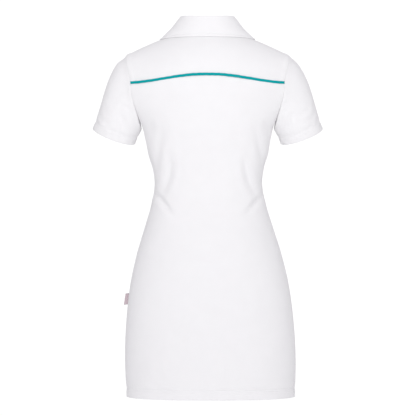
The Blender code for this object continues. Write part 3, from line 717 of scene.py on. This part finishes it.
def armhole(hand, count=49):
    """Points round an armhole from the underarm up the back and down the front, once round."""
    loops = []
    for side in (1, -1):
        height = UNDERARM + LOOP * (1 - np.cos(np.linspace(0, pi, count))) / 2
        seam = half_width(height, side)
        z = row_height(seam, height, side)
        z[-1] = TIP
        for across in (seam, seam - 0.004):
            loops.append(np.stack((hand * across, side * depth(across, z, side), z), axis=-1))
    edge = np.concatenate((loops[0], loops[2][-2::-1]))
    inside = np.concatenate((loops[1], loops[3][-2::-1]))
    return hung(edge), hung(inside)


def sleeve(name, node, hand):
    """One sleeve, from its armhole to its hem."""
    ring, inside = armhole(hand)
    run = run_along(ring)
    top = len(ring) // 2
    turn = np.where(np.arange(len(ring)) <= top, pi - pi * run / run[top],
                    -pi * (run - run[top]) / (run[-1] - run[top]))
    along = unit(np.gradient(ring, axis=0))
    along[0] = along[-1] = unit(ring[1] - ring[-2])
    inward = inside - ring
    outward = -unit(inward - along * (inward * along).sum(axis=-1, keepdims=True))
    outward[top] = outward[top - 1] + outward[top + 1]
    for _ in range(CAP_SOFTENED):
        outward[1:-1] = unit(outward[:-2] + 2 * outward[1:-1] + outward[2:])
    out = np.array((CUFF_OUT[0] - CUFF_IN[0], 0, CUFF_OUT[1] - CUFF_IN[1]))
    reach = np.linalg.norm(out) / 2
    out = unit(out) * (hand, 1, 1)
    down = unit(np.array((hand * abs(out[2]), 0, -abs(out[0]))))
    rear = np.array((0, cos(CUFF_TILT), 0)) + sin(CUFF_TILT) * down
    arm = cos(CUFF_TILT) * down - np.array((0, sin(CUFF_TILT), 0))
    centre = np.array((hand * (CUFF_OUT[0] + CUFF_IN[0]) / 2, CUFF_Y, (CUFF_OUT[1] + CUFF_IN[1]) / 2))
    cuff = hung(centre + reach * np.cos(turn)[:, None] * out
                + CUFF_DEPTH * np.sin(turn)[:, None] * rear)
    cap = (1 + np.cos(turn))[:, None] / 2
    start = unit(cap * CAP_OUT * outward + (1 - (1 - CAP_DOWN) * cap) * arm)
    length = np.linalg.norm(cuff - ring, axis=1, keepdims=True)
    first = start * length * (UNDERARM_PULL + (CAP_PULL - UNDERARM_PULL) * cap)
    last = arm * length * CUFF_PULL
    fine = np.array((0, 0.0004, 0.0009, 0.0017, 0.0030, 0.0050)) / 0.15
    t = np.concatenate((fine, np.linspace(0.055, 0.845, 26), np.linspace(0.855, 0.985, 24),
                        1 - fine[3::-1]))[:, None, None]
    points = curve(t, ring, cuff, first, last)
    normal = facing(points, points - points.mean(axis=1, keepdims=True), around=True)
    up = length[None, :, 0] * (1 - t[..., 0])
    from_seam = length[None, :, 0] * t[..., 0]
    round_it = turn[None, :] * SLEEVE_RADIUS + 0 * up
    crown = cap[None, :, 0]
    tucked = crown ** 4 * (CAP_SINK[hand] * ridge(from_seam, *CAP_SINK_PLACE)
                           + GATHER * np.sin(run / GATHER_WAVE) * np.exp(-from_seam / GATHER_REACH))
    sunk = SIDE_SINK * ease((0.55 - crown) / 0.1) + ARMPIT_SINK * ease((0.08 - crown) / 0.04)
    tucked = tucked + sunk * ridge(from_seam, 0, 0.0035)
    relief = (pulled(round_it, up, SLEEVE_CREASES[hand]) + hemmed(up, SLEEVE_ROWS) - tucked
              + uneven(round_it + hand, up, 0.0003) * ease(from_seam / CALM) - seamed(from_seam))
    points = outer_face(points, normal, relief)
    piece = cloth(name, points, normal, hem_wall(up, SLEEVE_BAND), knit_white,
                  edge=(up, from_seam), around=True)
    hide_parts(node)
    return points, normal, up


sleeves = {hand: sleeve(f"sleeve_{word}_cloth", f"sleeve_{word}", hand)
           for hand, word in ((1, "left"), (-1, "right"))}

# Collar stand: a narrow double band of knit sewn round the neckline, which carries the fall. It
# shows only inside the collar and between its points.
STAND_HALF = 0.0615  # half width of the stand at its top edge
STAND_DEPTH = {1: 0.050, -1: 0.070}  # its depth there, back and front
STAND_TOP = 0.0355  # height of the top edge at the middle of the back
STAND_RISE = 0.0030  # how much higher it is over the shoulders
STAND_DROP = 0.084  # how much lower it is at the middle of the front
FRONT_GAP = 0.0006  # half the opening between the collar's two front ends
STAND_RADIUS = 0.07  # mean, by which turns round the neck become distances

last_turn = pi - FRONT_GAP / STAND_HALF
fine = np.array((0, 0.0004, 0.0009, 0.0016, 0.0027)) / STAND_RADIUS
turns = spaced(-last_turn, last_turn, 241, (0.055, 0.055), fine)
behind = np.abs(turns) <= pi / 2
x = NECK * np.sin(turns)
neck = -np.where(behind, NECK_DROP[1], NECK_DROP[-1]) * (1 - (x / NECK) ** 2)
base = np.stack((x, np.where(behind, depth(x, neck, 1), -depth(x, neck, -1)), neck), axis=-1)
level = np.abs(np.cos(turns))
deep = np.where(behind, STAND_DEPTH[1], STAND_DEPTH[-1])
head_z = np.where(behind, STAND_TOP + STAND_RISE * (1 - level ** 2),
                  STAND_TOP + STAND_RISE - STAND_DROP * level ** 2)
head = np.stack((STAND_HALF * np.sin(turns), deep * np.cos(turns), head_z), axis=-1)
radial = unit(np.stack((np.sin(turns) / STAND_HALF, np.cos(turns) / deep, 0 * turns), axis=-1))
t = np.concatenate(((0, 0.01, 0.025), np.linspace(0.05, 1, 14)))[:, None, None]
points = base + (head - base) * t
normal = facing(points, radial)
end = (last_turn - np.abs(turns))[None, :] * STAND_RADIUS + 0 * t[..., 0]
from_top = 0.04 * (1 - t[..., 0]) + 0.0003 + 0 * end
collar_white = knit("Knit_collar", KNIT_WHITE, relief=0.00008)
collar_stand = cloth("collar_stand_cloth", points - normal * 0.0002, normal, CLOTH, collar_white,
                     edge=(end, from_top))
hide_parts("collar_stand")

# Collar fall: two layers of knit with a soft interlining, seamed and turned, folded over the top
# of the stand. Its lower edge lies on the yoke and its points lie on the chest.
FALL_CLOTH = 0.0016
FOLD_RADIUS = 0.0032
LEAF_BACK = -0.0122  # height of the lower edge at the middle of the back
LEAF_SIDE = 0.1155  # distance of the lower edge from the middle, on the shoulder
LEAF_POINT = (0.060, -0.116)  # collar point, x and z
LEAF_LIFT = 0.0009  # outer face of the leaf over the form it lies on
LEAF_BACK_POWERS = (0.9, 6)  # how x and z run along the lower edge, behind the shoulder
LEAF_FRONT_POWERS = (1.5, 1.8)  # and in front of it
CHEST_START = (-0.030, -0.035)  # y and z past which the leaves are held off the form
COLLAR_STITCH = 0.0080  # distance of the topstitching from the edges
LEAF_CROWN = 0.0012  # how far the leaf bows out between fold and edge at the back
LEAF_HOLLOW = 0.0030  # and how far it bows in over the shoulders
FOLD_ROWS = 11  # rows of points round the fold, which turns through 150 degrees
LEAF_RADIUS = 0.062  # by which turns become distances from the leaf's front edge
LEAF_SPREAD = (0.4, 0.9)  # their share at the fold, and how it grows to the lower edge
PRESSED = 0.0010  # depth of the furrow of the topstitching, and its half width
PRESSED_HALF = 0.0015
PUFF = 0.0006  # how far the seam allowance fills out the edge


def over_front(x, z):
    """How far the outer face of the leaf lies over the form on the uneven front panel."""
    return LEAF_LIFT + front_uneven(x, z, row_height(x, TIP, -1) - z)


rows = []
for bend in np.linspace(0, 150, FOLD_ROWS):
    arm = radial * -cos(radians(bend)) + np.array((0, 0, sin(radians(bend))))
    centre = head + radial * (FOLD_RADIUS - CLOTH) + np.array((0, 0, 0.0006))
    rows.append(centre + arm * FOLD_RADIUS)
around = np.abs(turns)
shoulder = shoulder_line(LEAF_SIDE)
back_x = LEAF_SIDE * np.sin(around) ** LEAF_BACK_POWERS[0]
back_z = LEAF_BACK + (shoulder - LEAF_BACK) * np.sin(around) ** LEAF_BACK_POWERS[1]
s = np.clip((around - pi / 2) / (last_turn - pi / 2), 0, 1)
front_x = LEAF_SIDE + (LEAF_POINT[0] - LEAF_SIDE) * s ** LEAF_FRONT_POWERS[0]
front_z = shoulder - (shoulder - LEAF_POINT[1]) * s ** LEAF_FRONT_POWERS[1]
hand = np.sign(turns)
on_yoke = (LEAF_LIFT * (1 - 0.5 * np.sin(around) ** 8)
           + uneven(hand * back_x, back_z, YOKE_UNEVEN)
           * ease((row_height(back_x, TIP, 1) - back_z) / CALM))
leaf_edge = np.where(behind[:, None], on_form(hand * back_x, back_z, 1, on_yoke)[0],
                     on_form(hand * front_x, front_z, -1, over_front(hand * front_x, front_z))[0])
bent = rows[-1]
fall_length = np.linalg.norm(leaf_edge - bent, axis=-1)
leaf_rows = np.concatenate((np.linspace(0, 1, 34)[1:-1], (0.982, 0.989, 0.994, 0.998, 1)))
for t in leaf_rows:
    hollow = LEAF_HOLLOW * sin(pi * t) ** 2 * np.abs(np.sin(turns)) ** 3
    leaf = bent + (leaf_edge - bent) * t - radial * hollow[:, None]
    cover = depth(leaf[:, 0], leaf[:, 2], -1) + over_front(leaf[:, 0], leaf[:, 2])
    on_chest = ease((CHEST_START[0] - leaf[:, 1]) / 0.004) * ease((CHEST_START[1] - leaf[:, 2]) / 0.004)
    lower = np.minimum(leaf[:, 1], -cover)
    leaf[:, 1] += (lower - leaf[:, 1]) * on_chest
    rows.append(leaf)
points = np.array(rows)
normal = facing(points, (0, 0, 1))
t = np.concatenate((np.zeros(FOLD_ROWS), leaf_rows))[:, None]
to_edge = (1 - t) * fall_length
to_end = (last_turn - around)[None, :] * LEAF_RADIUS * (LEAF_SPREAD[0] + LEAF_SPREAD[1] * t)
pressed = PRESSED * sum(ridge(away, COLLAR_STITCH, PRESSED_HALF) for away in (to_edge, to_end))
puffed = PUFF * ridge(to_edge, COLLAR_STITCH / 2, 0.0020)
relief = (LEAF_CROWN * np.sin(pi * t) * np.cos(turns) ** 2 + puffed - pressed
          + uneven(3 * points[..., 0], points[..., 2], 0.0002) * np.sin(pi * t))
fall_points, fall_normal = outer_face(points, normal, relief), normal
fold_edge = np.where(t > 0, 1, np.linspace(0.0002, 0.004, len(t))[:, None]) + 0 * to_edge
fall_wall = FALL_CLOTH * (1 - 0.5 * ridge(to_edge, 0, 0.0025))
collar_fall = cloth("collar_fall_cloth", fall_points, normal, fall_wall, collar_white,
                    edge=(to_edge, to_end, fold_edge))
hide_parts("collar_fall")

# Topstitching: white polyester thread, sewn by machine through the cloth and its turnings. Two
# needles sew the hems, and single rows hold the collar's edges and the placket.
STITCH_PITCH = 0.0029  # from one stitch to the next
STITCH_SIZE = (0.0024, 0.00045, 0.00045)  # length, width and height
THREAD_LIFT = 0.00008  # middle of the thread over the pressed-in cloth


def bead():
    """Corners and faces of one stitch, a slim bead along X."""
    bm = bmesh.new()
    bmesh.ops.create_icosphere(bm, subdivisions=1, radius=0.5)
    corners = np.array([vert.co[:] for vert in bm.verts])
    sides = np.array([[vert.index for vert in face.verts] for face in bm.faces])
    bm.free()
    return corners, sides


def stitches(name, lines, pitch=STITCH_PITCH, size=STITCH_SIZE):
    """Rows of stitches along lines, each a run of places and of outward directions."""
    corners, sides = bead()
    verts, faces = [], []
    for places, out in lines:
        run = run_along(places)
        count = max(1, int(run[-1] / pitch))
        at = (np.arange(count) + 0.5) * run[-1] / count
        middle, ahead, behind, lift = (
            np.stack([np.interp(spot, run, column) for column in values.T], axis=-1)
            for spot, values in ((at, places), (at + 0.0004, places), (at - 0.0004, places), (at, out)))
        forward = unit(ahead - behind)
        beside = unit(np.cross(unit(lift), forward))
        for centre, a, b, c in zip(middle, forward, beside, np.cross(forward, beside)):
            faces.append(sides + len(verts) * len(corners))
            verts.append(centre + corners[:, :1] * size[0] * a + corners[:, 1:2] * size[1] * b
                         + corners[:, 2:] * size[2] * c)
    mesh = bpy.data.meshes.new(name)
    mesh.from_pydata(np.concatenate(verts).tolist(), [], np.concatenate(faces).tolist())
    return finished(name, mesh, thread)


def level_line(points, normal, away, at):
    """The line over a grid of cloth where a distance that falls along its columns comes to at."""
    count = np.arange(points.shape[1])
    row = np.array([np.interp(-at, -away[:, c], np.arange(len(away))) for c in count])
    low = np.minimum(row.astype(int), len(away) - 2)
    part = (row - low)[:, None]
    out = normal[low, count] * (1 - part) + normal[low + 1, count] * part
    places = points[low, count] * (1 - part) + points[low + 1, count] * part
    return places + out * THREAD_LIFT, out


thread, shader, twist, _ = finish("Thread_white", (0.86, 0.86, 0.87), 0.55, 0.1)
twist.noise(1500.0).bump(0.4, 0.0001).feed(shader, "Normal")

lines = [level_line(points, normal, -up, -row) for points, normal, up
         in ((back_points, back_normal, back_up), (front_points, front_normal, front_up))
         for row in HEM_ROWS]
hem_thread = stitches("hem_stitches", lines)

lines = [level_line(points, normal, up, row) for points, normal, up in sleeves.values()
         for row in SLEEVE_ROWS]
cuff_thread = stitches("cuff_stitches", lines)

places, out = level_line(fall_points, fall_normal, to_edge, COLLAR_STITCH)
kept = around < last_turn - COLLAR_STITCH / (LEAF_RADIUS * 1.2)
lines = [(places[kept], out[kept])]
middle = len(turns) // 2
for half in (slice(middle, None), slice(middle, None, -1)):
    places, out = level_line(*(grid[:, half].swapaxes(0, 1) for grid in (fall_points, fall_normal)),
                             to_end[:, half].T, COLLAR_STITCH)
    kept = slice(4, int((to_edge[:, -1] > COLLAR_STITCH).sum()))
    lines.append((places[kept], out[kept]))
collar_thread = stitches("collar_stitches", lines)

BOX = 0.0165  # height of the stitched box at the foot of the placket

side_x = PLACKET_HALF - BAND_PLAY - BAND_STITCH
low, high = PLACKET_FOOT + BAND_STITCH, PLACKET_TOP - 0.001
runs = (((-side_x, high), (-side_x, low), (side_x, low), (side_x, high)),
        ((-side_x, low + BOX), (side_x, low + BOX)))
lines = [on_placket(np.linspace(x1, x2, 60), np.linspace(z1, z2, 60), BAND_LIFT + THREAD_LIFT - BAND_DENT)
         for run in runs for (x1, z1), (x2, z2) in zip(run, run[1:])]
placket_thread = stitches("placket_stitches", lines)

# Buttonholes: upright slots in the upper band, worked all round in dense satin stitch.
BUTTONS = (-0.102, -0.158, -0.214)  # heights of the buttons
HOLE_HALF = 0.0066  # half length of a buttonhole
HOLE_SIDE = 0.0010  # distance of its two legs from the middle
BAR_HALF = 0.0017  # half length of the bars across its ends
SATIN_PITCH = 0.00042
SATIN_LIFT = 0.0001  # middle of the satin stitches over the band

legs, bars = [], []
for height in BUTTONS:
    z = np.linspace(height - HOLE_HALF, height + HOLE_HALF, 30)
    for side in (-1, 1):
        legs.append(on_placket(side * HOLE_SIDE, z, BAND_LIFT + SATIN_LIFT))
        bars.append(on_placket(np.linspace(-BAR_HALF, BAR_HALF, 8), height + side * HOLE_HALF,
                               BAND_LIFT + SATIN_LIFT))
holes = stitches("buttonhole_legs", legs, SATIN_PITCH, (0.0005, 0.0014, 0.0006))
tacks = stitches("buttonhole_bars", bars, SATIN_PITCH, (0.0005, 0.0013, 0.0007))

# Buttons: three white resin buttons with a raised rim, a dished middle and four holes, sewn on
# the lower band through the buttonholes, so they stay fastened.
BUTTON_RADIUS = 0.0056
BUTTON_DEPTH = 0.0028
EYE = 0.0008  # radius of the four holes
EYE_SPOT = 0.00125  # distance of each from the button's two middle lines
RINGS = (0.0034, 0.0040, 0.0045, 0.0050, 0.0054, BUTTON_RADIUS)
FACE = (0.0007, 0.0011, 0.0014, 0.0014, 0.0011, 0.0006)  # height of the face at each ring
REAR = (-0.0014, -0.0014, -0.0014, -0.0014, -0.0012, -0.0007)  # and of the back
BUTTON_GAP = 0.0004  # room between the button's middle and the band
RESIN_WHITE = (0.85, 0.85, 0.86)
STRAND_SIDE = 0.0003  # distance of the two strands in a pair of holes from its middle line

resin, shader, place, _ = finish("Resin_white", RESIN_WHITE, 0.28, shine=0.5)
(place.noise(420.0) * 0.10 + 0.93).shading(RESIN_WHITE).feed(shader, "Base Color")
strands = []
for number, height in enumerate(BUTTONS, 1):
    bm = bmesh.new()
    bmesh.ops.create_circle(bm, segments=48, radius=RINGS[0])
    for x in (-EYE_SPOT, EYE_SPOT):
        for y in (-EYE_SPOT, EYE_SPOT):
            bmesh.ops.create_circle(bm, segments=14, radius=EYE, matrix=Matrix.Translation((x, y, 0)))
    bmesh.ops.triangle_fill(bm, use_beauty=True, edges=bm.edges[:], normal=(0, 0, 1))
    rim = [edge for edge in bm.edges if edge.is_boundary and edge.verts[0].co.length > RINGS[0] - 1e-5]
    for small, large in zip(RINGS, RINGS[1:]):
        rim = bmesh.ops.extrude_edge_only(bm, edges=rim)["geom"]
        bmesh.ops.scale(bm, vec=(large / small,) * 3,
                        verts=[vert for vert in rim if isinstance(vert, bmesh.types.BMVert)])
        rim = [edge for edge in rim if isinstance(edge, bmesh.types.BMEdge) and edge.is_boundary]
    raised = bmesh.ops.extrude_face_region(bm, geom=bm.faces[:])["geom"]
    raised = {vert for vert in raised if isinstance(vert, bmesh.types.BMVert)}
    for vert in bm.verts:
        ring = vert.co.to_2d().length
        vert.co.z = np.interp(ring, RINGS, FACE if vert in raised else REAR)
    bmesh.ops.recalc_face_normals(bm, faces=bm.faces)
    middle = BAND_LIFT + BUTTON_GAP + BUTTON_DEPTH / 2
    place, lift = (grid.reshape(3) for grid in on_form(0.0, height, -1, middle))
    turned = Matrix.Rotation(atan2(-lift[1], lift[2]), 4, "X")
    set_on = Matrix.Translation(hung(place)) @ turned
    bmesh.ops.transform(bm, matrix=set_on, verts=bm.verts)
    name = f"button_{number}_resin"
    button = finished(name, meshed(name, bm), resin)
    button.data.set_sharp_from_angle(angle=radians(35))
    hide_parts(f"button_{number}")
    for y in (-EYE_SPOT, EYE_SPOT):
        for step in (-STRAND_SIDE, STRAND_SIDE):
            ends = [set_on @ Vector((x, y + step, 0.0009)) for x in (-0.0015, 0.0015)]
            strands.append((np.array(ends), np.array([lift, lift])))
button_thread = stitches("button_thread", strands, 1, (0.0034, 0.0006, 0.0006))

# Side label: a short blank woven tape folded into a loop and caught in the left side seam, a
# little askew.
LABEL = -0.6415  # height of its middle
LABEL_LONG = 0.0270  # along the seam
LABEL_OUT = 0.0084  # how far it stands out
LABEL_LOOP = 0.0006  # radius of its fold
TAPE = 0.00045  # thickness of the tape
LABEL_IN = 0.0022  # how deep it is caught in the seam
RIB_PITCH = (0.0007, 0.0005)  # of the weave, across the tape and along it
ROSE_GREY = (0.60, 0.50, 0.535)
SELVEDGE_GREY = (0.40, 0.33, 0.36)

flat = LABEL_OUT - LABEL_LOOP
profile = np.concatenate((
    [(x, -LABEL_LOOP) for x in np.linspace(-LABEL_IN, flat, 12)[:-1]],
    [(flat + LABEL_LOOP * cos(a), LABEL_LOOP * sin(a)) for a in np.linspace(-pi / 2, pi / 2, 9)],
    [(x, LABEL_LOOP) for x in np.linspace(flat, -LABEL_IN, 12)[1:]]))
up, reach = np.linspace(-1, 1, 25)[:, None], profile[None, :, 0]
z = LABEL + LABEL_LONG / 2 * up - 0.10 * reach
z = z + 0.0006 * np.sin(3 * up) * reach / LABEL_OUT
x = half_width(z, 1) + reach * (1 - 0.06 * up)
y = profile[None, :, 1] * (1 - 0.25 * up ** 2) + 0.0005 * np.sin(2.2 * up + 0.6) * reach / LABEL_OUT
points = hung(np.stack((x, y + 0 * x, z), axis=-1))
normal = facing(points, points - points.mean(axis=(0, 1)))
tape, shader, _, weave = finish("Tape_rose_grey", ROSE_GREY, 0.8, 0.1)
across, along = weave.part(0), weave.part(1)
rib = (along * (2 * pi / RIB_PITCH[1])).math("SINE") * (across * (2 * pi / RIB_PITCH[0])).math("SINE")
rib.bump(0.6, 0.0001).feed(shader, "Normal")
selvedge = (along * (1 / LABEL_LONG) - 0.5).math("ABSOLUTE").math("GREATER_THAN", 0.45)
selvedge.between(ROSE_GREY, SELVEDGE_GREY).feed(shader, "Base Color")
label = cloth("side_label_tape", points, normal, TAPE, tape)
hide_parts("side_label")

# Studio: a pale floor as far below the dress as a standing wearer would need it, soft light from
# all round and the camera straight behind the dress, at the height of its middle.
CAMERA_DISTANCE = 5.5
CAMERA_AIM = (-0.0013, -0.4218)  # x and z that the camera looks at
VIEW_HALF = 0.5034  # half the width of the view at the garment
FLOOR = -1.42
FLOOR_REACH = 9.0  # radius of the floor, which turns into the white of the studio
FLOOR_PALE = (0.86, 0.86, 0.87)
FLOOR_GLOW = 0.22  # its own light near the dress, which takes the place of light from below
FLOOR_FADE = (1.6, 6.0)  # distances from the dress between which it turns white
AIR_COLOUR = (0.80, 0.785, 0.825, 1)  # of the soft light from all round, and its strength
AIR_LIGHT = 0.655
PAPER_LIGHT = 1.1  # strength of the white that the camera sees round the dress

view = placed("Camera", bpy.data.cameras.new("Camera"))
view.location = (CAMERA_AIM[0], CAMERA_DISTANCE, CAMERA_AIM[1])
view.rotation_euler = (pi / 2, 0, pi)
view.data.angle = 2 * atan(VIEW_HALF / CAMERA_DISTANCE)
bpy.context.scene.camera = view
bpy.context.scene.view_settings.view_transform = "Standard"

bm = bmesh.new()
bmesh.ops.create_circle(bm, cap_ends=True, segments=96, radius=FLOOR_REACH,
                        matrix=Matrix.Translation((0, 0, FLOOR)))
floor = placed("Floor", meshed("Floor", bm))
pale, shader, place, _ = finish("Floor_pale", FLOOR_PALE, 0.9)
apart = place.node("ShaderNodeVectorMath", {"operation": "LENGTH"}, {0: place}, 1)
fade = apart.node("ShaderNodeMapRange", {"interpolation_type": "SMOOTHSTEP"},
                  {"Value": apart, "From Min": FLOOR_FADE[0], "From Max": FLOOR_FADE[1]})
fade.between(FLOOR_PALE, (0, 0, 0)).feed(shader, "Base Color")
fade.between([FLOOR_GLOW] * 3, (1, 1, 1)).feed(shader, "Emission Color")
shader.inputs["Emission Strength"].default_value = 1.0
floor.data.materials.append(pale)


def softbox(name, place, size, power):
    """A large square light that faces the middle of the dress."""
    lamp = placed(name, bpy.data.lights.new(name, "AREA"))
    lamp.data.size = size
    lamp.data.energy = power
    lamp.location = place
    towards = Vector((CAMERA_AIM[0], 0, CAMERA_AIM[1])) - lamp.location
    lamp.rotation_euler = towards.to_track_quat("-Z", "Y").to_euler()


softbox("Key_behind", (0, 3.1, 1.7), 1.8, 63)
softbox("Key_front", (-0.5, -3.6, 0.9), 2.0, 50)
world = bpy.data.worlds.new("Studio")
bpy.context.scene.world = world
world.use_nodes = True
nodes = world.node_tree.nodes
nodes["Background"].inputs["Color"].default_value = AIR_COLOUR
nodes["Background"].inputs["Strength"].default_value = AIR_LIGHT
air = Value(nodes["Background"].outputs[0])
paper = air.node("ShaderNodeBackground", None, {"Color": (1, 1, 1, 1), "Strength": PAPER_LIGHT})
seen = air.node("ShaderNodeLightPath")
seen.node("ShaderNodeMixShader", None, {0: seen, 1: air, 2: paper}).feed(nodes["World Output"], "Surface")
